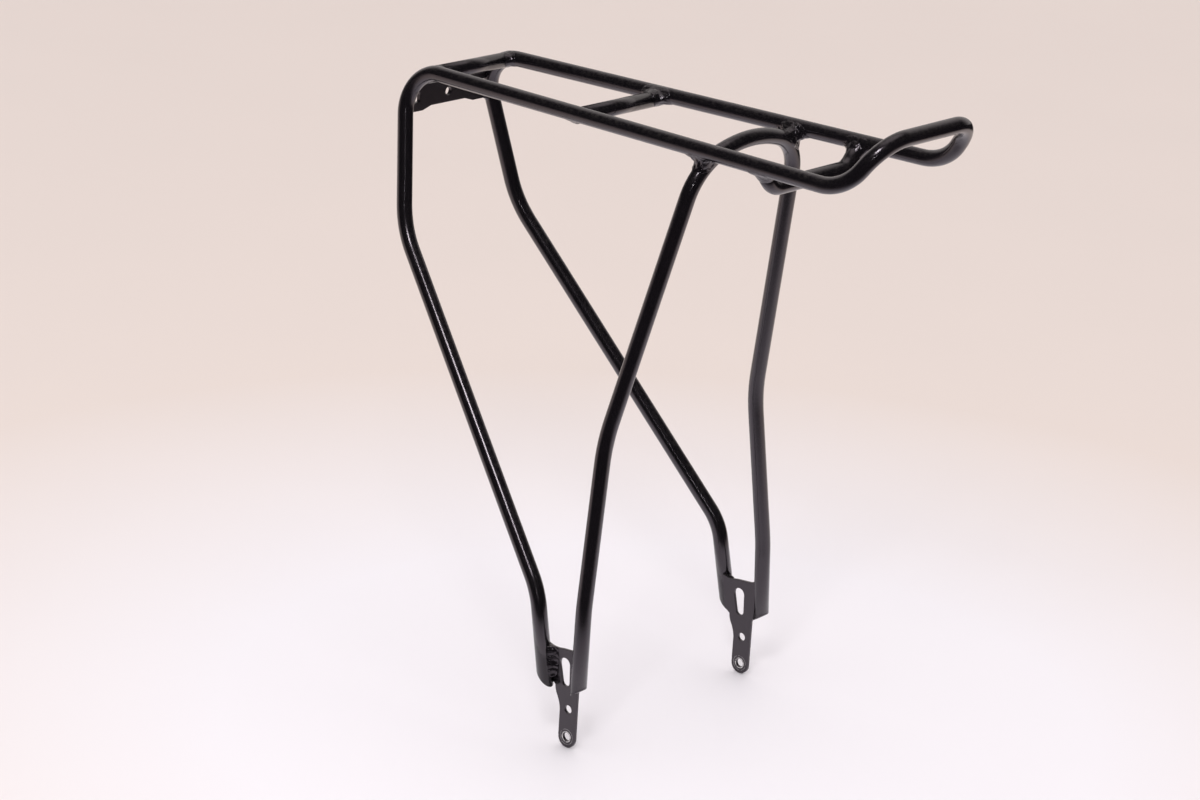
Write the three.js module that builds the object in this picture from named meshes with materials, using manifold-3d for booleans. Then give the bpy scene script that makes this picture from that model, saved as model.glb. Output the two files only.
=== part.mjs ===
// Bicycle rear rack: a bent steel tube frame that stands on two dropout tabs.
// Millimetres. +X points to the front of the bicycle, +Y to its left, +Z up.
// The origin lies midway between the lower holes of the two dropout tabs.
import * as THREE from "three";
import { mergeVertices } from "three/addons/utils/BufferGeometryUtils.js";
import Module from "manifold-3d";

const wasm = await Module();
wasm.setup();

// Tube stock
const TUBE_R = 5;
const WALL = 1.1;
const GAP = 0.3;
const CLEAR_R = TUBE_R + GAP;
const RING_SEGMENTS = 7;
const BEND_STEP = Math.PI / 14;

// Deck tube, left half: centreline corners from the left foot to the rear loop, and their bend radii
const FRONT_FOOT = [15.4, 90.4, 26];
const FRONT_KNEE = [28.6, 88.8, 89.6];
const FRONT_SHOULDER = [188.5, 53, 278.8];
const DECK_FRONT = [209.8, 35.1, 378.5];
const DECK_REAR = [-149, 50.4, 378.5];
const LOOP_CORNER = [-170.1, 43, 409.4];
const DECK_RADII = [41, 64, 25, 31, 23];

// Rear leg hoop, left half: centreline corners from the left foot to the top of the arch
const REAR_FOOT = [-10.8, 90.8, 26];
const REAR_ANKLE = [-9, 88.2, 88];
const REAR_KNEE = [-4.7, 72.9, 192.6];
const HOOP_SHOULDER = [-41.2, 47, 369.4];
const HOOP_TOP = [-43.7, 0, 382.8];
const HOOP_RADII = [130, 117, 34, 90];

// Cross tubes between the rails
const FRONT_CROSS = { x: 186, z: 377.2 };
const MIDDLE_CROSS = { x: 63, z: 376 };
const LAMP_BAR = { x: -88, halfFlat: 35.5, z: 364.2, bend: 13 };

// Slanted leg ends: middle of the cut, and its slope in the side view
const FRONT_END = { x: 17.2, z: 36, slope: 0.73 };
const REAR_END = { x: -10.9, z: 36, slope: -0.73 };
const CAP_T = 1.2;

// Dropout plates
const DROPOUT_Y = 86;
const DROPOUT_T = 2;
const TAB_HALF = 6.8;
const TAB_TIP_Z = -0.3;
const EYELET_R = 2.75;
const EYELET_PITCH = 18.5;

// Stay plate under the front cross tube
const STAY_X = 206;
const STAY_T = 3;
const STAY_HOLE_Z = 357.4;
const STAY_HOLE_R = 2.75;

// Welds
const RING_WELD_R = 2.5;
const SEAM_WELD_R = 2.1;

const PAINT = { color: 0x121214, roughness: 0.28, metalness: 0.15 };

const rack = new THREE.Group();

function vec(point, side = 1) {
  return new THREE.Vector3(point[0], point[1] * side, point[2]);
}

// One bend: sections from where the straight tube ends to where it starts again
function bendStations(before, corner, after, radius) {
  const back = before.clone().sub(corner).normalize();
  const ahead = after.clone().sub(corner).normalize();
  const half = back.angleTo(ahead) / 2;
  const turn = Math.PI - 2 * half;
  const reach = radius / Math.tan(half);
  const inward = back.clone().add(ahead).normalize();
  const centre = corner.clone().addScaledVector(inward, radius / Math.sin(half));
  const start = corner.clone().addScaledVector(back, reach);
  const travel = back.clone().negate();
  const outward = start.clone().sub(centre).normalize();
  const steps = Math.max(2, Math.ceil(turn / BEND_STEP));
  const stations = [];
  for (let i = 0; i <= steps; i += 1) {
    const angle = (turn * i) / steps;
    const point = centre.clone();
    point.addScaledVector(outward, radius * Math.cos(angle));
    point.addScaledVector(travel, radius * Math.sin(angle));
    const tangent = travel.clone().multiplyScalar(Math.cos(angle));
    tangent.addScaledVector(outward, -Math.sin(angle));
    stations.push({ point, tangent });
  }
  return stations;
}

// A tube centreline: straight runs joined by circular bends, with sections only where it bends
class BentPath extends THREE.Curve {
  constructor(corners, radii) {
    super();
    const last = corners.length - 1;
    const first = corners[1].clone().sub(corners[0]).normalize();
    const final = corners[last].clone().sub(corners[last - 1]).normalize();
    this.stations = [{ point: corners[0], tangent: first }];
    for (let i = 1; i < last; i += 1) {
      this.stations.push(...bendStations(corners[i - 1], corners[i], corners[i + 1], radii[i - 1]));
    }
    this.stations.push({ point: corners[last], tangent: final });
  }

  stationAt(u) {
    return this.stations[Math.round(u * (this.stations.length - 1))];
  }

  getPointAt(u, target = new THREE.Vector3()) {
    return target.copy(this.stationAt(u).point);
  }

  getTangentAt(u, target = new THREE.Vector3()) {
    return target.copy(this.stationAt(u).tangent);
  }
}

function sweep(path, outer, inner = 0) {
  const section = new THREE.Shape();
  section.absarc(0, 0, outer, 0, Math.PI * 2, false);
  if (inner > 0) {
    const bore = new THREE.Path();
    bore.absarc(0, 0, inner, 0, Math.PI * 2, true);
    section.holes.push(bore);
  }
  return new THREE.ExtrudeGeometry(section, {
    steps: path.stations.length - 1,
    curveSegments: RING_SEGMENTS,
    bevelEnabled: false,
    extrudePath: path,
  });
}

function solidOf(geometry) {
  const bare = geometry.clone();
  bare.deleteAttribute("normal");
  bare.deleteAttribute("uv");
  const merged = mergeVertices(bare, 1e-4);
  const vertProperties = Float32Array.from(merged.attributes.position.array);
  const triVerts = Uint32Array.from(merged.index.array);
  return new wasm.Manifold(new wasm.Mesh({ numProp: 3, vertProperties, triVerts }));
}

function geometryOf(solid) {
  const mesh = solid.getMesh();
  const geometry = new THREE.BufferGeometry();
  geometry.setAttribute("position", new THREE.BufferAttribute(mesh.vertProperties, 3));
  geometry.setIndex(new THREE.BufferAttribute(mesh.triVerts, 1));
  geometry.computeVertexNormals();
  return geometry;
}

// A cut can leave crumbs beside the piece, so only the biggest body is kept
function biggest(solid) {
  const bodies = solid.decompose();
  return bodies.reduce((best, body) => (body.volume() > best.volume() ? body : best));
}

function addPiece(name, solid) {
  const mesh = new THREE.Mesh(geometryOf(biggest(solid)), new THREE.MeshStandardMaterial(PAINT));
  mesh.name = name;
  rack.add(mesh);
}

// Both halves of a symmetric tube: down the left side, then up the right side in reverse
function mirroredCorners(leftCorners) {
  const left = leftCorners.map((corner) => vec(corner));
  const right = leftCorners.map((corner) => vec(corner, -1)).reverse();
  return left.concat(right);
}

// A thick slab with its upper face along a slanted leg end, lowered by drop
function endSlab(end, side, drop, thickness) {
  const slab = new THREE.BoxGeometry(40, 20, thickness);
  slab.translate(0, 0, -thickness / 2 - drop);
  slab.rotateY(-Math.atan(end.slope));
  slab.translate(end.x, side * 90.3, end.z);
  return solidOf(slab);
}

function trimmedLegs(tube, end) {
  const left = endSlab(end, 1, 0, 30);
  const right = endSlab(end, -1, 0, 30);
  return tube.subtract(left).subtract(right);
}

function railY(x) {
  const along = (x - DECK_FRONT[0]) / (DECK_REAR[0] - DECK_FRONT[0]);
  return DECK_FRONT[1] + (DECK_REAR[1] - DECK_FRONT[1]) * along;
}

const deckCorners = mirroredCorners([
  FRONT_FOOT,
  FRONT_KNEE,
  FRONT_SHOULDER,
  DECK_FRONT,
  DECK_REAR,
  LOOP_CORNER,
]);
const deckPath = new BentPath(deckCorners, DECK_RADII.concat([...DECK_RADII].reverse()));
const deckRod = solidOf(sweep(deckPath, TUBE_R));
const deckClear = solidOf(sweep(deckPath, CLEAR_R));

const hoopLeft = [REAR_FOOT, REAR_ANKLE, REAR_KNEE, HOOP_SHOULDER].map((corner) => vec(corner));
const hoopRight = [HOOP_SHOULDER, REAR_KNEE, REAR_ANKLE, REAR_FOOT].map((corner) => vec(corner, -1));
const hoopCorners = [...hoopLeft, vec(HOOP_TOP), ...hoopRight];
const hoopRadii = [...HOOP_RADII, ...[...HOOP_RADII].reverse().slice(1)];
const hoopPath = new BentPath(hoopCorners, hoopRadii);
const hoopRod = solidOf(sweep(hoopPath, TUBE_R));
const hoopClear = solidOf(sweep(hoopPath, CLEAR_R));

function addFrameTubes() {
  const deckTube = solidOf(sweep(deckPath, TUBE_R, TUBE_R - WALL));
  const hoopTube = solidOf(sweep(hoopPath, TUBE_R, TUBE_R - WALL));
  addPiece("deck_and_front_leg_tube", trimmedLegs(deckTube, FRONT_END));
  addPiece("rear_leg_hoop", trimmedLegs(hoopTube, REAR_END));
}

// Each open leg end is closed by a thin welded disc that follows the slanted cut
function addLegEndCaps() {
  for (const [sideName, side] of [["left", 1], ["right", -1]]) {
    const frontSlab = endSlab(FRONT_END, side, GAP, CAP_T);
    const rearSlab = endSlab(REAR_END, side, GAP, CAP_T);
    addPiece(`${sideName}_front_leg_end_cap`, deckRod.intersect(frontSlab));
    addPiece(`${sideName}_rear_leg_end_cap`, hoopRod.intersect(rearSlab));
  }
}

function crossPath(x, z) {
  const y = railY(x);
  return new BentPath([new THREE.Vector3(x, y, z), new THREE.Vector3(x, -y, z)], []);
}

function lampBarPath() {
  const { x, halfFlat, z, bend } = LAMP_BAR;
  const end = [x, railY(x), DECK_REAR[2]];
  const foot = [x, halfFlat, z];
  return new BentPath([vec(end), vec(foot), vec(foot, -1), vec(end, -1)], [bend, bend]);
}

function addCrossTube(name, path) {
  const tube = solidOf(sweep(path, TUBE_R, TUBE_R - WALL));
  addPiece(name, tube.subtract(deckClear));
}

// Distance from a branch section to the wall of the tube it meets, at one angle round the branch
function wallReach(branch, main, offset) {
  const across = branch.dir.clone().cross(main.dir);
  const apart = branch.origin.clone().add(offset).sub(main.origin).cross(main.dir);
  const a = across.lengthSq();
  const b = 2 * across.dot(apart);
  const c = apart.lengthSq() - TUBE_R * TUBE_R;
  const root = Math.max(0, b * b - 4 * a * c);
  return (-b + Math.sqrt(root)) / (2 * a);
}

// A bead round the mouth of a branch tube, following the saddle where it meets the main tube
function ringWeld(branch, main) {
  const bead = new THREE.TorusGeometry(TUBE_R, RING_WELD_R, 6, 16);
  const turn = new THREE.Quaternion().setFromUnitVectors(new THREE.Vector3(0, 0, 1), branch.dir);
  const position = bead.attributes.position;
  const vertex = new THREE.Vector3();
  for (let i = 0; i < position.count; i += 1) {
    vertex.fromBufferAttribute(position, i);
    const angle = Math.atan2(vertex.y, vertex.x);
    const rim = new THREE.Vector3(Math.cos(angle), Math.sin(angle), 0).multiplyScalar(TUBE_R);
    const reach = wallReach(branch, main, rim.applyQuaternion(turn));
    vertex.applyQuaternion(turn).add(branch.origin).addScaledVector(branch.dir, reach);
    position.setXYZ(i, vertex.x, vertex.y, vertex.z);
  }
  return solidOf(bead);
}

function addRingWelds(name, path) {
  const clear = solidOf(sweep(path, CLEAR_R));
  const last = path.stations.length - 1;
  const ends = [
    { sideName: "left", from: path.stations[0], to: path.stations[1] },
    { sideName: "right", from: path.stations[last], to: path.stations[last - 1] },
  ];
  for (const { sideName, from, to } of ends) {
    const side = Math.sign(from.point.y);
    const railDir = vec(DECK_REAR, side).sub(vec(DECK_FRONT, side)).normalize();
    const branch = { origin: from.point, dir: to.point.clone().sub(from.point).normalize() };
    const weld = ringWeld(branch, { origin: vec(DECK_REAR, side), dir: railDir });
    addPiece(`${sideName}_${name}_weld`, weld.subtract(deckClear).subtract(clear));
  }
}

// The hoop passes just under each rail, and a heavy weld bridges the two tubes
function addHoopWelds() {
  for (const [sideName, side] of [["left", 1], ["right", -1]]) {
    const lump = new THREE.SphereGeometry(1, 14, 8);
    lump.scale(8, 6, 5.5);
    lump.translate(HOOP_TOP[0] + 0.5, side * 43.2, 371.2);
    const weld = solidOf(lump).subtract(deckClear).subtract(hoopClear);
    addPiece(`${sideName}_hoop_weld`, weld);
  }
}

function addEyelet(shape, x, y, radius) {
  const hole = new THREE.Path();
  hole.absarc(x, y, radius, 0, Math.PI * 2, true);
  shape.holes.push(hole);
}

// Web between the leg ends, with a tapered lightening window and a round-ended tab below it
function dropoutOutline() {
  const shape = new THREE.Shape();
  shape.moveTo(19.4, 57.6);
  shape.quadraticCurveTo(14.5, 55.4, 7.3, 57.1);
  shape.lineTo(-2, 58);
  shape.quadraticCurveTo(-5, 58.2, -8.5, 60.5);
  shape.lineTo(-8.5, 36);
  shape.lineTo(-TAB_HALF, 31);
  shape.lineTo(-TAB_HALF, TAB_TIP_Z);
  shape.absarc(0, TAB_TIP_Z, TAB_HALF, Math.PI, Math.PI * 2, false);
  shape.lineTo(TAB_HALF, 16.5);
  shape.quadraticCurveTo(7, 20.5, 9.2, 24.8);
  shape.quadraticCurveTo(11.3, 28.2, 11.6, 32);
  shape.lineTo(15.6, 35);
  shape.closePath();
  addEyelet(shape, 0, 0, EYELET_R);
  addEyelet(shape, 0, EYELET_PITCH, EYELET_R);
  const window = new THREE.Path();
  window.absarc(4.7, 47.5, 4.1, 0, Math.PI, false);
  window.absarc(3.1, 36.2, 3, Math.PI, Math.PI * 2, false);
  shape.holes.push(window);
  return shape;
}

function dropoutPlate(side) {
  const options = { depth: DROPOUT_T, bevelEnabled: false, curveSegments: 8 };
  const plate = new THREE.ExtrudeGeometry(dropoutOutline(), options);
  plate.rotateX(Math.PI / 2);
  plate.translate(0, side * DROPOUT_Y + DROPOUT_T / 2, 0);
  return solidOf(plate);
}

// Seam beads on the outside of each dropout web, one along each leg
function seamWeld(corner, foot, side) {
  const start = vec(corner, side);
  const end = vec(foot, side);
  const path = new BentPath([start, end], []);
  return solidOf(sweep(path, SEAM_WELD_R));
}

function plateClear(side) {
  const slab = new THREE.BoxGeometry(80, DROPOUT_T + 2 * GAP, 120);
  slab.translate(0, side * DROPOUT_Y, 30);
  return solidOf(slab);
}

function addDropouts() {
  const frontSeam = [[16.9, 88.2, 56], [13.4, 88.2, 38]];
  const rearSeam = [[-5.1, 88.2, 56], [-6.1, 88.2, 37]];
  for (const [sideName, side] of [["left", 1], ["right", -1]]) {
    const plate = dropoutPlate(side).subtract(deckClear).subtract(hoopClear);
    addPiece(`${sideName}_dropout_plate`, plate);
    const webClear = plateClear(side);
    const front = seamWeld(...frontSeam, side).subtract(deckClear).subtract(webClear);
    const rear = seamWeld(...rearSeam, side).subtract(hoopClear).subtract(webClear);
    addPiece(`${sideName}_front_dropout_weld`, front);
    addPiece(`${sideName}_rear_dropout_weld`, rear);
  }
}

// Outline across the rack: two ears meet each front leg, and the lower edge is raised in the middle
function stayPlateOutline() {
  const left = [
    [15.7, 350.3],
    [23.3, 348],
    [37.4, 348],
    [37, 353.2],
    [26.4, 354],
    [26.4, 360],
    [35.2, 361.4],
    [35, 366],
    [27, 366.8],
    [18, 364.9],
  ];
  const right = left.map(([y, z]) => [-y, z]).reverse();
  const shape = new THREE.Shape(left.concat(right).map(([y, z]) => new THREE.Vector2(y, z)));
  addEyelet(shape, 0, STAY_HOLE_Z, STAY_HOLE_R);
  return shape;
}

function addStayPlate() {
  const options = { depth: STAY_T, bevelEnabled: false, curveSegments: 8 };
  const plate = new THREE.ExtrudeGeometry(stayPlateOutline(), options);
  const axes = new THREE.Matrix4().makeBasis(vec([0, 1, 0]), vec([0, 0, 1]), vec([1, 0, 0]));
  plate.applyMatrix4(axes);
  plate.translate(STAY_X - STAY_T / 2, 0, 0);
  addPiece("front_stay_plate", solidOf(plate).subtract(deckClear));
}

// Short beads on the back of the stay plate, where its lower ears meet the legs
function addStayWelds() {
  const slab = new THREE.BoxGeometry(STAY_T + 2 * GAP, 120, 60);
  slab.translate(STAY_X, 0, 355);
  const clear = deckClear.add(solidOf(slab));
  for (const [sideName, side] of [["left", 1], ["right", -1]]) {
    const path = new BentPath([vec([203, 35, 353.5], side), vec([202, 36, 347.5], side)], []);
    const bead = solidOf(sweep(path, SEAM_WELD_R));
    addPiece(`${sideName}_stay_plate_weld`, bead.subtract(clear));
  }
}

function addCrossTubes() {
  const crossings = {
    front_cross: crossPath(FRONT_CROSS.x, FRONT_CROSS.z),
    middle_cross: crossPath(MIDDLE_CROSS.x, MIDDLE_CROSS.z),
    lamp_bar: lampBarPath(),
  };
  addCrossTube("front_cross_tube", crossings.front_cross);
  addCrossTube("middle_cross_tube", crossings.middle_cross);
  addCrossTube("rear_lamp_bar", crossings.lamp_bar);
  for (const [name, path] of Object.entries(crossings)) {
    addRingWelds(name, path);
  }
}

addFrameTubes();
addLegEndCaps();
addCrossTubes();
addHoopWelds();
addDropouts();
addStayPlate();
addStayWelds();

export default rack;
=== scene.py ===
"""Looks for the bicycle rear rack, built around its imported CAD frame.

The rack's own frame has +X to the front of the bicycle, +Y to its left and +Z up, with the origin
midway between the lower holes of the two dropout tabs. Lengths of the rack are millimetres; those
of materials, floor, lights and camera are metres.
"""
import math

import bmesh
import bpy
import numpy as np
from mathutils import Matrix, Vector


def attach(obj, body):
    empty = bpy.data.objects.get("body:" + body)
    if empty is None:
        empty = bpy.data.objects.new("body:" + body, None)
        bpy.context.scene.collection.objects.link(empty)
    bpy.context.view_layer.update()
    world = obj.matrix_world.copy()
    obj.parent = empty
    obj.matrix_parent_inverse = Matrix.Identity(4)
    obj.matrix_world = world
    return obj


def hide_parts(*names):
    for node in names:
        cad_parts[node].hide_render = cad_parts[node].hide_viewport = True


MM = 0.001
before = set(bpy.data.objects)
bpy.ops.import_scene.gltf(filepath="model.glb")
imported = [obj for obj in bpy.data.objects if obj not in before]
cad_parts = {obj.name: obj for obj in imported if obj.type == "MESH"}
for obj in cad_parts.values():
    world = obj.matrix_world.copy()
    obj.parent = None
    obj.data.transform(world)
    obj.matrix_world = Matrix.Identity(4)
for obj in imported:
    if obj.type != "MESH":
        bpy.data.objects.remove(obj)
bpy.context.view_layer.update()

# ---------------------------------------------------------------- driving dimensions
TUBE_R = 5.0
RING_SEGMENTS = 96
BEND_STEP = math.radians(2.5)

FRONT_FOOT = (15.4, 90.4, 26)
FRONT_KNEE = (28.6, 88.8, 89.6)
FRONT_SHOULDER = (188.5, 53, 278.8)
DECK_FRONT = (209.8, 35.1, 378.5)
DECK_REAR = (-149, 50.4, 378.5)
LOOP_CORNER = (-170.1, 43, 409.4)
DECK_RADII = (41, 64, 25, 31, 23)

REAR_FOOT = (-10.8, 90.8, 26)
REAR_ANKLE = (-9, 88.2, 88)
REAR_KNEE = (-4.7, 72.9, 192.6)
HOOP_SHOULDER = (-41.2, 47, 369.4)
HOOP_TOP = (-43.7, 0, 382.8)
HOOP_RADII = (130, 117, 34, 90)

FRONT_CROSS = (186, 377.2)
MIDDLE_CROSS = (63, 376)
LAMP_BAR_X, LAMP_BAR_HALF, LAMP_BAR_Z, LAMP_BAR_BEND = -88, 35.5, 364.2, 13
CROSS_SETBACK = 3.8

FRONT_END = (17.2, 36, 0.73)
REAR_END = (-10.9, 36, -0.73)

DROPOUT_Y, DROPOUT_T, DROPOUT_RIM = 86.0, 2.0, 0.25
WEB_FRONT, WEB_TOP, WEB_FOOT = 19.4, 57.6, 30
TAB_HALF, TAB_TIP_Z = 6.8, -0.3
EYELET_R, EYELET_PITCH = 2.75, 18.5
STAY_X, STAY_T, STAY_RIM = 206.0, 3.0, 0.3
STAY_HOLE_Z, STAY_HOLE_R = 357.4, 2.75
COPE_INSET = 0.4
OUTLINE_STEP = 1.5

# Weld metal: sampling pitch, how far its face lies under the plain fillet, how deep it goes into
# the parent walls, its thinnest edge, and the thickness at which its ripples reach full height
WELD_CELL = 0.42
FACE_DROP = 0.03
ROOT_DEPTH = 0.7
THINNEST = 0.09
FULL_RIPPLE = 0.6
CRUMB_SHARE = 5
SOFTENING_PASSES = 3

CAMERA_PLACE = Vector((-1.20529, 1.51515, 0.86243))
CAMERA_AHEAD = Vector((0.60698, -0.72559, -0.32419)).normalized()
CAMERA_ROLL = math.radians(3.509)
CAMERA_LENS = 98.92


def mirrored(point, side):
    return Vector((point[0], point[1] * side, point[2]))


# ---------------------------------------------------------------- centrelines
def bend(before, corner, after, radius):
    """Points and tangents along one circular bend."""
    back = (before - corner).normalized()
    ahead = (after - corner).normalized()
    half = back.angle(ahead) / 2
    turn = math.pi - 2 * half
    centre = corner + (back + ahead).normalized() * (radius / math.sin(half))
    outward = (corner + back * (radius / math.tan(half)) - centre).normalized()
    steps = max(3, math.ceil(turn / BEND_STEP))
    stations = []
    for i in range(steps + 1):
        angle = turn * i / steps
        point = centre + (outward * math.cos(angle) - back * math.sin(angle)) * radius
        tangent = -back * math.cos(angle) - outward * math.sin(angle)
        stations.append((point, tangent))
    return stations


def centreline(corners, radii=()):
    """Straight runs joined by circular bends, as a list of (point, tangent)."""
    stations = [(corners[0], (corners[1] - corners[0]).normalized())]
    for i, radius in enumerate(radii, start=1):
        stations += bend(corners[i - 1], corners[i], corners[i + 1], radius)
    stations.append((corners[-1], (corners[-1] - corners[-2]).normalized()))
    return stations


def both_sides(left):
    return [mirrored(p, 1) for p in left] + [mirrored(p, -1) for p in reversed(left)]


def rail_y(x):
    along = (x - DECK_FRONT[0]) / (DECK_REAR[0] - DECK_FRONT[0])
    return DECK_FRONT[1] + (DECK_REAR[1] - DECK_FRONT[1]) * along


def cross_line(x, z):
    y = rail_y(x)
    return centreline([Vector((x, y, z)), Vector((x, -y, z))])


def lamp_bar_line():
    end = (LAMP_BAR_X, rail_y(LAMP_BAR_X), DECK_REAR[2])
    foot = (LAMP_BAR_X, LAMP_BAR_HALF, LAMP_BAR_Z)
    return centreline(both_sides([end, foot]), (LAMP_BAR_BEND, LAMP_BAR_BEND))


DECK_LINE = centreline(
    both_sides([FRONT_FOOT, FRONT_KNEE, FRONT_SHOULDER, DECK_FRONT, DECK_REAR, LOOP_CORNER]),
    DECK_RADII + DECK_RADII[::-1],
)
HOOP_LINE = centreline(
    [mirrored(p, 1) for p in (REAR_FOOT, REAR_ANKLE, REAR_KNEE, HOOP_SHOULDER)]
    + [Vector(HOOP_TOP)]
    + [mirrored(p, -1) for p in (HOOP_SHOULDER, REAR_KNEE, REAR_ANKLE, REAR_FOOT)],
    HOOP_RADII + HOOP_RADII[2::-1],
)
FRONT_LINE = cross_line(*FRONT_CROSS)
MIDDLE_LINE = cross_line(*MIDDLE_CROSS)
LAMP_LINE = lamp_bar_line()


# ---------------------------------------------------------------- mesh helpers
def new_object(name, mesh, material, nodes):
    """Adds a finished piece: smooth, painted, riding on the rack in place of its CAD nodes."""
    obj = bpy.data.objects.new(name, mesh)
    bpy.context.scene.collection.objects.link(obj)
    mesh.materials.clear()
    mesh.materials.append(material)
    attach(obj, "root")
    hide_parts(*nodes)


def mesh_of(name, points, faces):
    mesh = bpy.data.meshes.new(name)
    mesh.from_pydata([tuple(c * MM for c in p) for p in points], [], faces)
    mesh.update()
    mesh.shade_smooth()
    return mesh


def carried_frames(stations):
    """A normal for each station, carried along the line without twisting."""
    tangent = stations[0][1]
    normal = tangent.orthogonal().normalized()
    normals = [normal]
    for _, ahead in stations[1:]:
        normal = tangent.rotation_difference(ahead) @ normal
        normal = (normal - ahead * normal.dot(ahead)).normalized()
        normals.append(normal)
        tangent = ahead
    return normals


def ring(point, tangent, normal, radius):
    """Points of a circle round a centreline."""
    across = tangent.cross(normal)
    turns = [2 * math.pi * k / RING_SEGMENTS for k in range(RING_SEGMENTS)]
    return [point + (normal * math.cos(t) + across * math.sin(t)) * radius for t in turns]


def slide_to_cut(points, tangent, end):
    """Moves a ring along its tube until it lies in a slanted cut."""
    x, z, slope = end
    cut = Vector((-slope, 0, 1))
    level = cut.dot(Vector((x, 0, z)))
    return [p + tangent * ((level - cut.dot(p)) / cut.dot(tangent)) for p in points]


def ring_faces(count):
    """Faces that join rings one after the other and close both ends."""
    n = RING_SEGMENTS
    faces = []
    for i in range(count - 1):
        for k in range(n):
            j = (k + 1) % n
            faces.append((i * n + k, i * n + j, (i + 1) * n + j, (i + 1) * n + k))
    faces.append(tuple(reversed(range(n))))
    faces.append(tuple((count - 1) * n + k for k in range(n)))
    return faces


def tube_mesh(name, stations, end=None):
    """A round tube along a centreline; end is the slanted cut that both its ends share."""
    normals = carried_frames(stations)
    rings = [ring(p, t, n, TUBE_R) for (p, t), n in zip(stations, normals)]
    if end:
        rings[0] = slide_to_cut(rings[0], stations[0][1], end)
        rings[-1] = slide_to_cut(rings[-1], stations[-1][1], end)
    points = [p for one in rings for p in one]
    mesh = mesh_of(name, points, ring_faces(len(rings)))
    sharpen_ends(mesh)
    return mesh


def sharpen_ends(mesh):
    """Flat shading on the end faces only, so that the wall stays smooth."""
    for polygon in mesh.polygons:
        if len(polygon.vertices) > 4:
            polygon.use_smooth = False


# ---------------------------------------------------------------- weld metal from distance fields
def grid(low, high):
    axes = [np.arange(a, b + WELD_CELL, WELD_CELL) for a, b in zip(low, high)]
    return np.stack(np.meshgrid(*axes, indexing="ij"), axis=-1)


def tube_distance(points, stations, centre, reach):
    """Distance from points to the wall of a tube, using only its stretch near centre."""
    distance = np.full(points.shape[:-1], 1e3)
    for (a, _), (b, _) in zip(stations, stations[1:]):
        run = b - a
        nearest = max(0.0, min(1.0, (centre - a).dot(run) / run.length_squared))
        if (a + run * nearest - centre).length > reach:
            continue
        start, along = np.array(a), np.array(run)
        t = np.clip((points - start) @ along / (along @ along), 0, 1)
        gap = points - start - t[..., None] * along
        distance = np.minimum(distance, np.sqrt((gap**2).sum(-1)))
    return distance - TUBE_R


def slab_distance(points, low, high):
    centre, half = (np.array(low) + high) / 2, (np.array(high) - low) / 2
    q = np.abs(points - centre) - half
    outside = np.sqrt((np.maximum(q, 0) ** 2).sum(-1))
    return outside + np.minimum(q.max(-1), 0)


def filleted(a, b, size):
    """Union of two distance fields with a fillet of about this size between them."""
    h = np.clip(size - np.abs(a - b), 0, None) / size
    return np.minimum(a, b) - h * h * size / 4


def crease(a, b):
    """1 where two surfaces meet at a right angle or sharper, 0 where one runs into the other."""
    slopes = zip(np.gradient(a, WELD_CELL), np.gradient(b, WELD_CELL))
    return np.clip(1 - sum(p * q for p, q in slopes), 0, 1)


def lumps(points, seed):
    """A smooth random field of about -1 to 1, with features of 1 to 4 mm."""
    rng = np.random.default_rng(seed)
    total = np.zeros(points.shape[:-1])
    for scale in (0.9, 1.4, 2.3, 3.1):
        for _ in range(3):
            direction = rng.normal(size=3)
            direction *= scale / np.linalg.norm(direction)
            total += np.sin(points @ direction + rng.uniform(0, 6.3)) / scale
    return total / 4


def crossed_edges(values, axis):
    """Grid edges along an axis that cross zero: starts, crossings, and which ones begin inside."""
    lower = [slice(None)] * 3
    upper = [slice(None)] * 3
    lower[axis], upper[axis] = slice(0, -1), slice(1, None)
    a, b = values[tuple(lower)], values[tuple(upper)]
    crossing = (a < 0) != (b < 0)
    spots = np.argwhere(crossing)
    places = spots.astype(float)
    places[:, axis] += a[crossing] / (a[crossing] - b[crossing])
    return spots, places, a[crossing] < 0


def cells_round(spots, axis):
    """The four grid cells that share each edge, in their order round it."""
    u, v = (k for k in range(3) if k != axis)
    cells = []
    for du, dv in ((0, 0), (1, 0), (1, 1), (0, 1)):
        cell = spots.copy()
        cell[:, u] -= du
        cell[:, v] -= dv
        cells.append(cell)
    return cells


def surface_net(values, low):
    """Quads along the zero level of a sampled field, one vertex in each cell it crosses."""
    shape = np.array(values.shape) - 1
    total = np.zeros((*shape, 3))
    count = np.zeros(tuple(shape))
    quads = []
    index = np.arange(shape.prod()).reshape(tuple(shape))
    for axis in range(3):
        spots, places, begins_inside = crossed_edges(values, axis)
        cells = cells_round(spots, axis)
        inner = np.all([((c >= 0) & (c < shape)).all(1) for c in cells], axis=0)
        for cell in cells:
            keep = cell[inner]
            np.add.at(total, tuple(keep.T), places[inner])
            np.add.at(count, tuple(keep.T), 1)
        corner = np.stack([index[tuple(c[inner].T)] for c in cells], axis=1)
        flip = begins_inside[inner] == (axis == 1)
        corner[flip] = corner[flip][:, ::-1]
        quads.append(corner)
    quads = np.concatenate(quads)
    used, faces = np.unique(quads, return_inverse=True)
    flat_total, flat_count = total.reshape(-1, 3)[used], count.reshape(-1)[used]
    points = flat_total / flat_count[:, None] * WELD_CELL + np.array(low)
    return points, faces.reshape(quads.shape)


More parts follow.
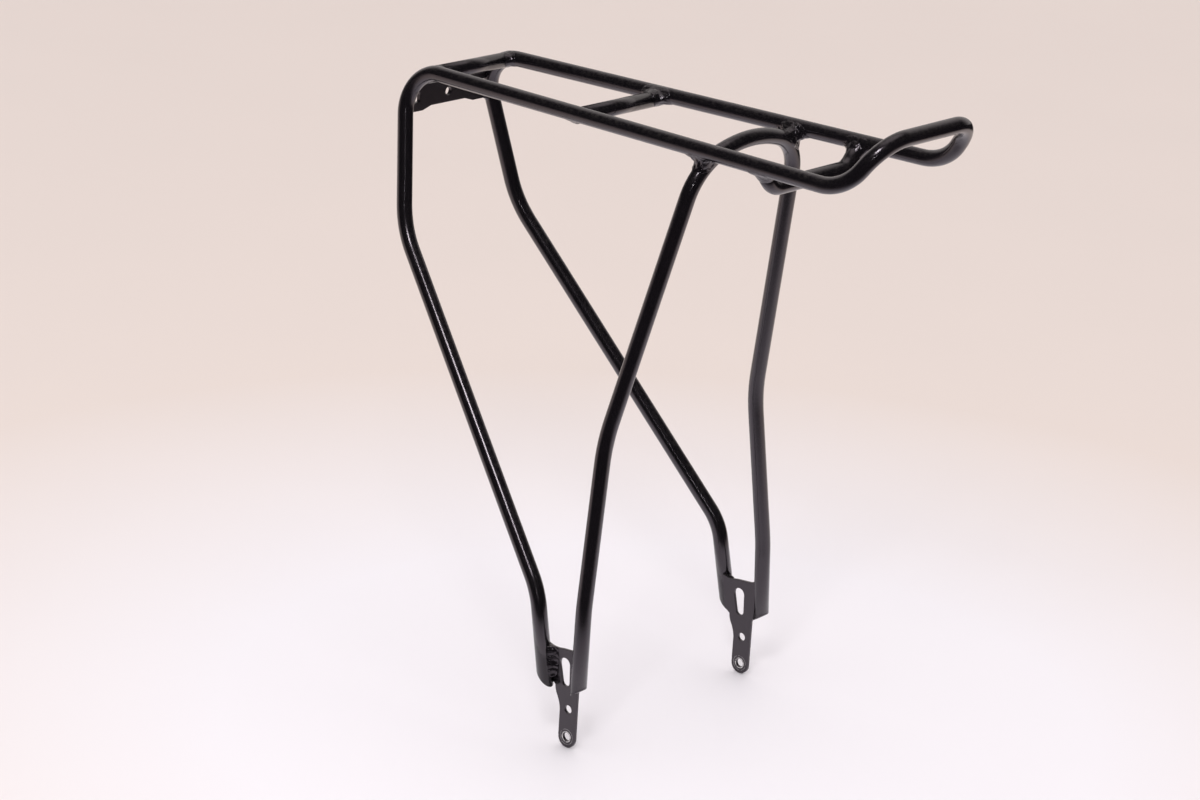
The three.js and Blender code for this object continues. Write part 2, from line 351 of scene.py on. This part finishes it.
def weld_mesh(name, low, high, field, side):
    """Builds one weld from field(points), without crumbs, at the left (1) or right (-1)."""
    points = grid(low, high)
    values = field(points)
    # The border of the grid counts as outside, so that the surface is closed
    for axis in range(3):
        edge = [slice(None)] * 3
        for end in (0, -1):
            edge[axis] = end
            values[tuple(edge)] = 1.0
    spots, faces = surface_net(values, low)
    spots[:, 1] *= side
    mesh = bpy.data.meshes.new(name)
    mesh.from_pydata((spots * MM).tolist(), [], faces.tolist())
    drop_crumbs(mesh)
    mesh.update()
    mesh.shade_smooth()
    return mesh


def bodies_of(work):
    """The faces of each body of a mesh; bodies that touch only at a corner count as separate."""
    left, bodies = set(work.faces), []
    while left:
        body, stack = [], [left.pop()]
        while stack:
            face = stack.pop()
            body.append(face)
            for edge in face.edges:
                for other in edge.link_faces:
                    if other in left:
                        left.discard(other)
                        stack.append(other)
        bodies.append(body)
    return bodies


def drop_crumbs(mesh):
    """Removes bodies far smaller than the largest, and softens the edges of what is left."""
    work = bmesh.new()
    work.from_mesh(mesh)
    bodies = bodies_of(work)
    least = max(len(body) for body in bodies) / CRUMB_SHARE
    crumbs = [face for body in bodies if len(body) < least for face in body]
    bmesh.ops.delete(work, geom=crumbs, context="FACES")
    axes = {"use_axis_x": True, "use_axis_y": True, "use_axis_z": True}
    for _ in range(SOFTENING_PASSES):
        bmesh.ops.smooth_vert(work, verts=work.verts, factor=0.5, **axes)
    bmesh.ops.recalc_face_normals(work, faces=work.faces)
    work.to_mesh(mesh)
    work.free()


def fillet_weld(name, centre, half, first, second, size, ripple, spatter, seed, side):
    """Fillet between two distance fields, built at the left of the rack and mirrored by side."""
    low = [c - h for c, h in zip(centre, half)]
    high = [c + h for c, h in zip(centre, half)]
    middle, half = np.array(centre), np.array(half)

    def field(points):
        a, b = first(points), second(points)
        nearest = np.minimum(a, b)
        thickness = (nearest - filleted(a, b, size)) * crease(a, b)
        bead = np.clip(thickness / FULL_RIPPLE, 0, 1)
        height = bead * (ripple(points) + spatter * lumps(points, seed))
        face = nearest - thickness + FACE_DROP - height
        root = -ROOT_DEPTH - nearest
        edge = THINNEST - thickness
        rounded_box = (((points - middle) / half) ** 4).sum(-1) ** 0.25 - 0.96
        return np.maximum.reduce([face, root, edge, rounded_box * half.min()])

    return weld_mesh(name, low, high, field, side)


def tube_field(line, centre, reach):
    """Distance field of the wall of a tube near centre."""
    return lambda points: tube_distance(points, line, Vector(centre), reach)


def shortened(line, cut):
    """The same centreline with a piece cut off both ends, so that they stay inside the rails."""
    (start, ahead), (stop, onward) = line[0], line[-1]
    return [(start + ahead * cut, ahead), *line[1:-1], (stop - onward * cut, onward)]


def joint_weld(name, centre, half, line, size, ripple, spatter, seed, side):
    """Weld between the deck tube and the tube along line."""
    reach = max(half) * 1.9
    first, second = tube_field(DECK_LINE, centre, reach), tube_field(line, centre, reach)
    return fillet_weld(name, centre, half, first, second, size, ripple, spatter, seed, side)


def scallops(centre, axis, count, height):
    """Ripples of a bead that runs round an axis."""
    axis = Vector(axis).normalized()
    u = axis.orthogonal().normalized()
    v = axis.cross(u)
    middle, u, v = np.array(centre), np.array(u), np.array(v)

    def ripple(points):
        offset = points - middle
        angle = np.arctan2(offset @ v, offset @ u)
        return height * (np.abs(np.sin(angle * count / 2)) - 0.35)

    return ripple


def beaded(seam, pitch, height, sag):
    """Crescent ripples along a straight seam, each sagging towards the seam's lower end."""
    start, stop = (np.array(p) for p in seam)
    along = (stop - start) / np.linalg.norm(stop - start)

    def ripple(points):
        offset = points - start
        run = offset @ along
        across = offset - run[..., None] * along
        phase = (run - sag * (across**2).sum(-1)) / pitch + 0.12 * np.sin(run * 0.9)
        uneven = 0.75 + 0.35 * np.sin(run * 0.55 + 1)
        return height * uneven * (np.abs(np.sin(math.pi * phase)) - 0.3)

    return ripple


# ---------------------------------------------------------------- plates from outlines
def arc(centre, radius, start, stop, steps=20):
    angles = [math.radians(start + (stop - start) * i / steps) for i in range(steps + 1)]
    return [(centre[0] + radius * math.cos(a), centre[1] + radius * math.sin(a)) for a in angles]


def swing(start, control, stop, steps=8):
    """A quadratic curve without its first point."""
    points = []
    for i in range(1, steps + 1):
        t = i / steps
        a, b, c = (1 - t) ** 2, 2 * t * (1 - t), t * t
        points.append(tuple(a * p + b * q + c * r for p, q, r in zip(start, control, stop)))
    return points


def pill(top, top_r, bottom, bottom_r):
    """The outline round two circles, one above the other, with straight sides."""
    lean = math.degrees(math.atan2(top[0] - bottom[0], top[1] - bottom[1]))
    flare = math.degrees(math.asin((top_r - bottom_r) / math.dist(top, bottom)))
    upper = arc(top, top_r, -lean - flare, 180 - lean + flare)
    lower = arc(bottom, bottom_r, 180 - lean + flare, 360 - lean - flare)
    return upper + lower


def evened(outline, step):
    """The same outline with its long straight runs divided, so that the rim bends cleanly."""
    points = []
    for a, b in zip(outline, outline[1:] + outline[:1]):
        parts = max(1, round(math.dist(a, b) / step))
        for i in range(parts):
            points.append((a[0] + (b[0] - a[0]) * i / parts, a[1] + (b[1] - a[1]) * i / parts))
    return points


def evaluated_mesh(obj):
    """The mesh that an object shows with its modifiers; the object itself is then removed."""
    graph = bpy.context.evaluated_depsgraph_get()
    mesh = bpy.data.meshes.new_from_object(obj.evaluated_get(graph), depsgraph=graph)
    bpy.data.objects.remove(obj)
    return mesh


def linked(name, data):
    obj = bpy.data.objects.new(name, data)
    bpy.context.scene.collection.objects.link(obj)
    return obj


def sheet_metal(name, outlines, thickness, rim, axes, centre):
    """A plate cut to outlines, with a rounded rim, laid on two axes about its centre."""
    curve = bpy.data.curves.new(name, "CURVE")
    curve.dimensions = "2D"
    curve.fill_mode = "BOTH"
    curve.extrude = thickness / 2 - rim
    curve.bevel_depth = rim
    curve.bevel_resolution = 3
    curve.offset = -rim
    for outline in outlines:
        spline = curve.splines.new("POLY")
        spline.points.add(len(outline) - 1)
        for point, (u, v) in zip(spline.points, outline):
            point.co = (u, v, 0, 1)
        spline.use_cyclic_u = True
    mesh = evaluated_mesh(linked(name, curve))
    u, v = (Vector(a) for a in axes)
    turn = Matrix((u, v, u.cross(v))).transposed().to_4x4()
    mesh.transform(Matrix.Translation(Vector(centre) * MM) @ turn @ Matrix.Scale(MM, 4))
    work = bmesh.new()
    work.from_mesh(mesh)
    bmesh.ops.remove_doubles(work, verts=work.verts, dist=0.01 * MM)
    bmesh.ops.dissolve_degenerate(work, edges=work.edges, dist=0.005 * MM)
    bmesh.ops.recalc_face_normals(work, faces=work.faces)
    work.to_mesh(mesh)
    work.free()
    return mesh


def coped(name, mesh, lines):
    """Cuts a plate back to just inside the walls of the tubes that it is welded to."""
    mesh.shade_smooth()
    plate = linked(name, mesh)
    cutters = []
    for line in lines:
        normals = carried_frames(line)
        rings = [ring(p, t, n, TUBE_R - COPE_INSET) for (p, t), n in zip(line, normals)]
        points = [p for one in rings for p in one]
        cutter_name = name + "_cutter"
        cutter = linked(cutter_name, mesh_of(cutter_name, points, ring_faces(len(rings))))
        cut = plate.modifiers.new("cope", "BOOLEAN")
        cut.operation = "DIFFERENCE"
        cut.solver = "EXACT"
        cut.object = cutter
        cutters.append(cutter)
    even = plate.modifiers.new("flat faces", "WEIGHTED_NORMAL")
    even.keep_sharp = True
    result = evaluated_mesh(plate)
    for cutter in cutters:
        bpy.data.objects.remove(cutter)
    return result


def dropout_outlines():
    """Outer rim, window and two bolt holes, in the plane of the plate."""
    corner = (WEB_FRONT, WEB_TOP)
    top = [corner] + swing(corner, (14.5, 55.4), (7.3, 57.1)) + [(-2, 58)]
    top += swing((-2, 58), (-5, 58.2), (-8.5, 60.5)) + [(-8.5, 36), (-TAB_HALF, 31)]
    tip = arc((0, TAB_TIP_Z), TAB_HALF, 180, 360, 40)
    neck = [(TAB_HALF, 16.5)] + swing((TAB_HALF, 16.5), (7, 20.5), (9.2, 24.8))
    neck += swing((9.2, 24.8), (11.3, 28.2), (11.6, 32)) + [(15.6, 35)]
    outer = top + tip + neck
    window = pill((4.7, 47.5), 4.1, (3.1, 36.2), 3)
    holes = [arc((0, z), EYELET_R, 0, 360, 48)[:-1] for z in (0, EYELET_PITCH)]
    return [evened(outer, OUTLINE_STEP), window, *holes]


def stay_outlines():
    """Outer rim with four ears, and the central hole, in the plane of the plate."""
    half = [
        (15.7, 350.3), (23.3, 348), (37.4, 348), (37, 353.2), (26.4, 354),
        (26.4, 360), (35.2, 361.4), (35, 366), (27, 366.8), (18, 364.9),
    ]
    outer = half + [(-y, z) for y, z in reversed(half)]
    hole = arc((0, STAY_HOLE_Z), STAY_HOLE_R, 0, 360, 48)[:-1]
    return [evened(outer, OUTLINE_STEP), hole]


# ---------------------------------------------------------------- materials
class Nodes:
    """A short way to write a node tree."""

    def __init__(self, name):
        self.material = bpy.data.materials.new(name)
        self.material.use_nodes = True
        self.tree = self.material.node_tree
        self.shader = self.tree.nodes["Principled BSDF"]
        self.place = self.add("ShaderNodeTexCoord").outputs["Object"]

    def add(self, kind, **values):
        node = self.tree.nodes.new(kind)
        for key, value in values.items():
            if hasattr(node, key):
                setattr(node, key, value)
            else:
                self.set(node, key.replace("_", " "), value)
        return node

    def set(self, node, key, value):
        socket = node.inputs[int(key)] if key.isdigit() else node.inputs[key]
        if isinstance(value, bpy.types.NodeSocket):
            self.tree.links.new(value, socket)
        else:
            socket.default_value = value

    def noise(self, scale, detail=2.0, roughness=0.5):
        node = self.add("ShaderNodeTexNoise", Scale=scale, Detail=detail, Roughness=roughness)
        self.set(node, "Vector", self.place)
        return node.outputs["Fac"]

    def ranged(self, value, low, high, to_low, to_high):
        node = self.add("ShaderNodeMapRange", Value=value)
        limits = {"From Min": low, "From Max": high, "To Min": to_low, "To Max": to_high}
        for key, given in limits.items():
            self.set(node, key, given)
        return node.outputs["Result"]

    def maths(self, operation, a, b=0.0):
        node = self.add("ShaderNodeMath", operation=operation)
        self.set(node, "0", a)
        self.set(node, "1", b)
        return node.outputs["Value"]

    def mixed(self, factor, a, b):
        node = self.add("ShaderNodeMix", data_type="RGBA")
        self.set(node, "0", factor)
        self.color(node, 6, a)
        self.color(node, 7, b)
        return node.outputs[2]

    def color(self, node, index, value):
        if isinstance(value, bpy.types.NodeSocket):
            self.tree.links.new(value, node.inputs[index])
        else:
            node.inputs[index].default_value = (*value, 1)

    def bump(self, height, strength, distance, normal=None):
        node = self.add("ShaderNodeBump", Strength=strength, Distance=distance, Height=height)
        if normal:
            self.set(node, "Normal", normal)
        return node.outputs["Normal"]

    def into(self, **values):
        for key, value in values.items():
            socket = self.shader.inputs[key.replace("_", " ")]
            if isinstance(value, bpy.types.NodeSocket):
                self.tree.links.new(value, socket)
            else:
                socket.default_value = (*value, 1) if isinstance(value, tuple) else value


def powder_coat(name, base, dusty, rough, peel, grit):
    """Black powder coat: orange peel, cloudy gloss, fine grit and a trace of dust on top."""
    n = Nodes(name)
    cloud = n.noise(55, 3)
    normal = n.add("ShaderNodeNewGeometry").outputs["Normal"]
    up = n.add("ShaderNodeSeparateXYZ", Vector=normal).outputs["Z"]
    facing_up = n.ranged(up, 0.2, 1.0, 0, 1)
    dust = n.maths("MULTIPLY", facing_up, n.ranged(n.noise(420, 4, 0.7), 0.45, 0.75, 0, 1))
    cloudy_gloss = n.ranged(cloud, 0.3, 0.7, rough - 0.015, rough + 0.02)
    n.into(
        Base_Color=n.mixed(dust, n.mixed(cloud, base, tuple(c * 1.6 for c in base)), dusty),
        Roughness=n.maths("ADD", cloudy_gloss, n.ranged(dust, 0, 1, 0, 0.1)),
        Specular_IOR_Level=0.65,
        Specular_Tint=(1, 0.88, 1),
        Coat_Weight=0.3,
        Coat_Roughness=rough * 0.6,
    )
    peel_normal = n.bump(n.noise(750, 2, 0.4), peel, 0.0004)
    grit_normal = n.bump(n.noise(4200, 2, 0.6), grit, 0.0001, peel_normal)
    n.into(Normal=grit_normal, Coat_Normal=peel_normal)
    return n


def eyelet_wear(n):
    """Bare steel where a bolt head has rubbed the paint round the lower hole."""
    axes = n.add("ShaderNodeSeparateXYZ", Vector=n.place)
    squares = [n.maths("POWER", axes.outputs[axis], 2.0) for axis in "XZ"]
    radius = n.maths("SQRT", n.maths("ADD", *squares))

    def ring_at(middle, half, soft, most):
        away = n.maths("ABSOLUTE", n.maths("SUBTRACT", radius, middle))
        return n.ranged(away, half + soft, half, 0, most)

    rim = ring_at(0.00335, 0.0002, 0.00008, 1)
    groove = ring_at(0.005, 0.00004, 0.00008, 0.6)
    broken = n.ranged(n.noise(320, 3, 0.7), 0.36, 0.5, 0, 1)
    wear = n.maths("MULTIPLY", n.maths("MAXIMUM", rim, groove), broken)
    paint = n.shader.inputs["Base Color"].links[0].from_socket
    rough = n.shader.inputs["Roughness"].links[0].from_socket
    n.into(
        Base_Color=n.mixed(wear, paint, BARE_STEEL),
        Metallic=n.maths("MULTIPLY", wear, 0.4),
        Roughness=n.maths("ADD", rough, n.maths("MULTIPLY", wear, 0.2)),
        Coat_Weight=n.ranged(wear, 0, 1, 0.3, 0),
    )


BLACK = (0.0042, 0.0036, 0.0046)
SATIN_BLACK = (0.007, 0.006, 0.0074)
DUST = (0.035, 0.032, 0.03)
BARE_STEEL = (0.85, 0.84, 0.83)
tube_paint = powder_coat("gloss_black_powder_coat", BLACK, DUST, 0.2, 0.06, 0.03).material
weld_paint = powder_coat("black_coated_weld", BLACK, DUST, 0.15, 0.8, 0.3).material
plate_nodes = powder_coat("satin_black_powder_coat", SATIN_BLACK, DUST, 0.3, 0.07, 0.08)
eyelet_wear(plate_nodes)
plate_paint = plate_nodes.material


# ---------------------------------------------------------------- tubes and end caps
def add_tube(name, line, node, end=None):
    new_object(name, tube_mesh(name, line, end), tube_paint, [node])


add_tube("deck_tube", DECK_LINE, "deck_and_front_leg_tube", FRONT_END)
add_tube("rear_hoop_tube", HOOP_LINE, "rear_leg_hoop", REAR_END)
add_tube("front_cross_bar", shortened(FRONT_LINE, CROSS_SETBACK), "front_cross_tube")
add_tube("middle_cross_bar", shortened(MIDDLE_LINE, CROSS_SETBACK), "middle_cross_tube")
add_tube("lamp_bracket_bar", LAMP_LINE, "rear_lamp_bar")

# Radius and drop below the cut, from the rim to the middle
CAP_PROFILES = {
    "front": [(5.0, 0.0), (4.93, 0.35), (4.6, 0.85), (4.0, 1.2), (3.0, 1.5), (1.5, 1.68)],
    "rear": [(5.0, 0.0), (4.97, 0.45), (4.8, 0.8), (4.45, 1.0), (3.2, 1.08), (1.5, 1.1)],
}


def cap_mesh(name, station, end, profile):
    """The rounded disc that closes a leg along its slanted cut."""
    point, tangent = station
    normal = carried_frames([station])[0]
    steepness = math.hypot(end[2], 1)
    rings = []
    for radius, drop in profile:
        lowered = (end[0], end[1] - drop * steepness, end[2])
        rings.append(slide_to_cut(ring(point, tangent, normal, radius), tangent, lowered))
    mesh = mesh_of(name, [p for one in rings for p in one], ring_faces(len(rings)))
    work = bmesh.new()
    work.from_mesh(mesh)
    bmesh.ops.recalc_face_normals(work, faces=work.faces)
    work.to_mesh(mesh)
    work.free()
    mesh.set_sharp_from_angle(angle=math.radians(60))
    return mesh


LEGS = {
    "left_front": (DECK_LINE[0], FRONT_END),
    "right_front": (DECK_LINE[-1], FRONT_END),
    "left_rear": (HOOP_LINE[0], REAR_END),
    "right_rear": (HOOP_LINE[-1], REAR_END),
}
for leg, (station, end) in LEGS.items():
    name = leg + "_leg_closing_cap"
    mesh = cap_mesh(name, station, end, CAP_PROFILES[leg.split("_")[1]])
    new_object(name, mesh, tube_paint, [leg + "_leg_end_cap"])

# ---------------------------------------------------------------- plates
SIDES = {"left": 1, "right": -1}

for side_name, side in SIDES.items():
    name = side_name + "_dropout"
    centre = (0, DROPOUT_Y * side, 0)
    axes = ((1, 0, 0), (0, 0, 1))
    plate = sheet_metal(name, dropout_outlines(), DROPOUT_T, DROPOUT_RIM, axes, centre)
    plate = coped(name, plate, [DECK_LINE, HOOP_LINE])
    new_object(name, plate, plate_paint, [side_name + "_dropout_plate"])

axes = ((0, 1, 0), (0, 0, 1))
stay = sheet_metal("front_stay", stay_outlines(), STAY_T, STAY_RIM, axes, (STAY_X, 0, 0))
stay = coped("front_stay", stay, [DECK_LINE, FRONT_LINE])
new_object("front_stay", stay, plate_paint, ["front_stay_plate"])


# ---------------------------------------------------------------- welds
def add_weld(side_name, joint, mesh):
    piece = side_name + "_" + joint + "_weld_bead"
    mesh.name = piece
    new_object(piece, mesh, weld_paint, [side_name + "_" + joint + "_weld"])


def add_cross_weld(side_name, side, joint, line, place, size, seed):
    x, z = place
    centre = (x, rail_y(x), z)
    ripple = scallops(centre, (0, 1, 0), 22, 0.14)
    tube = shortened(line, 4)
    mesh = joint_weld(joint, centre, (12, 12, 9), tube, size, ripple, 0.3, seed, side)
    add_weld(side_name, joint, mesh)


def add_lamp_weld(side_name, side, seed):
    centre = (LAMP_BAR_X, rail_y(LAMP_BAR_X) - 2, DECK_REAR[2] - 2.5)
    ripple = scallops(centre, (0, 0.5, 1), 14, 0.06)
    tube = shortened(LAMP_LINE, 4)
    mesh = joint_weld("lamp_bar", centre, (15, 13, 12), tube, 7, ripple, 0.12, seed, side)
    add_weld(side_name, "lamp_bar", mesh)


def add_hoop_weld(side_name, side, seed):
    centre = (-43.2, 43.2, 371.2)
    ripple = beaded(((-57, 43.2, 373), (-30, 43.2, 369)), 3.4, 0.34, 0.05)
    mesh = joint_weld("hoop", centre, (15, 12, 13), HOOP_LINE, 11, ripple, 0.36, seed, side)
    add_weld(side_name, "hoop", mesh)


def add_dropout_weld(side_name, side, leg_name, line, seam, size, pitch, height, seed):
    """Rippled bead down the outer face of a dropout plate, where it meets a leg."""
    joint = leg_name + "_dropout"
    low = (-TAB_HALF, DROPOUT_Y - DROPOUT_T / 2, WEB_FOOT)
    high = (WEB_FRONT, DROPOUT_Y + DROPOUT_T / 2, WEB_TOP)
    centre = [(a + b) / 2 for a, b in zip(*seam)]
    half = (6.5, 4.5, (seam[0][2] - seam[1][2]) / 2 + 1.5)

    def plate(points):
        """The plate's outer half only, so that no weld metal forms on its inner face."""
        inner_half = points[..., 1] < DROPOUT_Y
        return slab_distance(points, low, high) + np.where(inner_half, 9, 0)

    ripple = beaded(seam, pitch, height, 0.09)
    leg = tube_field(line, centre, 30)
    mesh = fillet_weld(joint, centre, half, leg, plate, size, ripple, 0.12, seed, side)
    add_weld(side_name, joint, mesh)


def add_stay_weld(side_name, side, seed):
    """Short bead behind the stay plate's lower ear."""
    centre = (203.5, 35.5, 351)
    low = (STAY_X - STAY_T / 2, 26.4, 348)
    high = (STAY_X + STAY_T / 2, 37.4, 353.6)

    def ear(points):
        return slab_distance(points, low, high)

    ripple = scallops(centre, (1, 0, 0), 10, 0.15)
    tube = tube_field(DECK_LINE, centre, 20)
    mesh = fillet_weld("stay", centre, (6, 6.5, 6), tube, ear, 4, ripple, 0.15, seed, side)
    add_weld(side_name, "stay_plate", mesh)


FRONT_SEAM = ((17.2, 88, 56), (13.7, 88, 38))
REAR_SEAM = ((-5.4, 88, 56), (-6.4, 88, 37))
# The middle cross tube has a light bead at its left end and a heavy one at its right end
MIDDLE_WELD_SIZE = {"left": 4.5, "right": 9}
FIRST_SEED = {"left": 10, "right": 40}

for side_name, side in SIDES.items():
    seed = FIRST_SEED[side_name]
    size = MIDDLE_WELD_SIZE[side_name]
    add_cross_weld(side_name, side, "front_cross", FRONT_LINE, FRONT_CROSS, 6, seed + 1)
    add_cross_weld(side_name, side, "middle_cross", MIDDLE_LINE, MIDDLE_CROSS, size, seed + 2)
    add_lamp_weld(side_name, side, seed + 3)
    add_hoop_weld(side_name, side, seed + 4)
    add_dropout_weld(side_name, side, "front", DECK_LINE, FRONT_SEAM, 8.5, 4.1, 0.34, seed + 5)
    add_dropout_weld(side_name, side, "rear", HOOP_LINE, REAR_SEAM, 5, 2.6, 0.22, seed + 6)
    add_stay_weld(side_name, side, seed + 7)


# ---------------------------------------------------------------- floor, light and camera
FLOOR_Z = TAB_TIP_Z - TAB_HALF
FLOOR_RADIUS = 9
FLOOR_NEAR = (0.86, 0.838, 0.877)
# Painted shade: the floor's colour away from the rack, darker and warmer where the light falls off
FLOOR_FAR_PAINTED_SHADE = (0.785, 0.695, 0.65)
WALL_SIDE = Vector((0.64, -0.77, 0))
TABLE_SIDE = Vector((-0.77, -0.64, 0))
CEILING = Vector((0.1, -0.12, 0.99))
HORIZON = (0.8, 0.7, 0.64)
DARK_ROOM = 0.012
RACK_MIDDLE = (0, 0, 0.23)


def add_floor():
    """A wide round floor, white under the rack and painted darker and warmer away from it as
    painted shade where the light falls off, fading into the horizon.

    Reflections see it end a little way before and beside the rack, as a table does, so that the
    paint keeps a dark core.
    """
    work = bmesh.new()
    bmesh.ops.create_circle(work, cap_ends=True, segments=128, radius=FLOOR_RADIUS)
    mesh = bpy.data.meshes.new("floor")
    work.to_mesh(mesh)
    work.free()
    floor = linked("floor", mesh)
    floor.location.z = FLOOR_Z * MM
    n = Nodes("pale_painted_floor")
    reach = n.add("ShaderNodeVectorMath", operation="LENGTH")
    n.set(reach, "0", n.place)
    # Painted shade: the floor's colour turns darker and warmer with distance from the rack, where
    # the light falls off
    far = n.ranged(reach.outputs["Value"], 0.28, 0.68, 0, 1)
    n.into(
        Base_Color=n.mixed(far, FLOOR_NEAR, FLOOR_FAR_PAINTED_SHADE),
        Roughness=n.ranged(n.noise(6, 4), 0.3, 0.7, 0.5, 0.62),
        Specular_IOR_Level=0.3,
        Normal=n.bump(n.noise(300, 3), 0.03, 0.0003),
    )

    def along(direction):
        node = n.add("ShaderNodeVectorMath", operation="DOT_PRODUCT")
        n.set(node, "0", n.place)
        n.set(node, "1", direction)
        return node.outputs["Value"]

    before = n.ranged(along(WALL_SIDE), -0.1, -0.38, 0, 1)
    beside = n.ranged(along(TABLE_SIDE), 0.7, 0.95, 0, 1)
    beyond = n.maths("MAXIMUM", before, beside)
    rays = n.add("ShaderNodeLightPath")
    dark = n.add("ShaderNodeBsdfDiffuse", Color=(0.02, 0.018, 0.02, 1))
    mix = n.add("ShaderNodeMixShader")
    n.set(mix, "0", n.maths("MULTIPLY", beyond, rays.outputs["Is Glossy Ray"]))
    n.tree.links.new(n.shader.outputs["BSDF"], mix.inputs[1])
    n.tree.links.new(dark.outputs["BSDF"], mix.inputs[2])
    distant = n.ranged(reach.outputs["Value"], 2.2, 5, 0, 1)
    haze = n.add("ShaderNodeEmission", Color=(*HORIZON, 1))
    whole = n.add("ShaderNodeMixShader")
    n.set(whole, "0", n.maths("MULTIPLY", distant, rays.outputs["Is Camera Ray"]))
    n.tree.links.new(mix.outputs["Shader"], whole.inputs[1])
    n.tree.links.new(haze.outputs["Emission"], whole.inputs[2])
    n.tree.links.new(whole.outputs["Shader"], n.tree.nodes["Material Output"].inputs["Surface"])
    mesh.materials.append(n.material)


def add_softbox(name, place, size, power, tint, in_reflections=True):
    """A square area light aimed at the middle of the rack."""
    data = bpy.data.lights.new(name, "AREA")
    data.shape = "SQUARE"
    data.size = size
    data.energy = power
    data.color = tint
    light = linked(name, data)
    light.location = place
    aim = Vector(RACK_MIDDLE) - Vector(place)
    light.rotation_euler = aim.to_track_quat("-Z", "Y").to_euler()
    light.visible_camera = False
    light.visible_glossy = in_reflections


def toward(azimuth, elevation, distance):
    """A place seen from the middle of the rack in this direction."""
    turn, rise = math.radians(azimuth), math.radians(elevation)
    level = distance * math.cos(rise)
    height = RACK_MIDDLE[2] + distance * math.sin(rise)
    return (level * math.cos(turn), level * math.sin(turn), height)


def add_room():
    """Pale to the camera; in reflections a bright wall and ceiling, and a dark room elsewhere."""
    world = bpy.data.worlds.new("studio")
    bpy.context.scene.world = world
    world.use_nodes = True
    tree = world.node_tree
    new, link = tree.nodes.new, tree.links.new
    way = new("ShaderNodeTexCoord").outputs["Generated"]

    def glow(direction, low, high, most):
        """A soft patch of light about one direction, between the cosines low and high."""
        facing = new("ShaderNodeVectorMath")
        facing.operation = "DOT_PRODUCT"
        facing.inputs[1].default_value = direction
        link(way, facing.inputs[0])
        fade = new("ShaderNodeMapRange")
        fade.interpolation_type = "SMOOTHSTEP"
        fade.inputs["From Min"].default_value = low
        fade.inputs["From Max"].default_value = high
        fade.inputs["To Min"].default_value = DARK_ROOM
        fade.inputs["To Max"].default_value = most
        link(facing.outputs["Value"], fade.inputs["Value"])
        return fade.outputs["Result"]

    both = new("ShaderNodeMath")
    both.operation = "MAXIMUM"
    link(glow(WALL_SIDE, 0.35, 0.75, 0.6), both.inputs[0])
    link(glow(CEILING, 0.8, 1.0, 0.9), both.inputs[1])
    room = new("ShaderNodeBackground")
    room.inputs["Color"].default_value = (1, 0.93, 0.9, 1)
    link(both.outputs["Value"], room.inputs["Strength"])
    seen = new("ShaderNodeBackground")
    seen.inputs["Color"].default_value = (*HORIZON, 1)
    mix = new("ShaderNodeMixShader")
    link(new("ShaderNodeLightPath").outputs["Is Camera Ray"], mix.inputs["Fac"])
    link(room.outputs["Background"], mix.inputs[1])
    link(seen.outputs["Background"], mix.inputs[2])
    link(mix.outputs["Shader"], tree.nodes["World Output"].inputs["Surface"])


def add_camera():
    level = CAMERA_AHEAD.cross(Vector((0, 0, 1))).normalized()
    upright = level.cross(CAMERA_AHEAD)
    right = level * math.cos(CAMERA_ROLL) + upright * math.sin(CAMERA_ROLL)
    up = upright * math.cos(CAMERA_ROLL) - level * math.sin(CAMERA_ROLL)
    data = bpy.data.cameras.new("camera")
    data.lens = CAMERA_LENS
    data.sensor_width = 36
    data.clip_start = 0.05
    camera = linked("camera", data)
    turn = Matrix((right, up, -CAMERA_AHEAD)).transposed().to_4x4()
    camera.matrix_world = Matrix.Translation(CAMERA_PLACE) @ turn
    bpy.context.scene.camera = camera


add_floor()
add_room()
add_softbox("ceiling", (0, 0, 3.4), 20, 1025, (1, 0.975, 0.985), in_reflections=False)
add_softbox("umbrella", toward(117, 46, 1.4), 0.28, 5, (1, 0.98, 0.98))
add_softbox("lens_flash", toward(129, 14, 1.9), 0.07, 0.8, (1, 1, 1))
add_camera()
bpy.context.scene.view_settings.view_transform = "Standard"
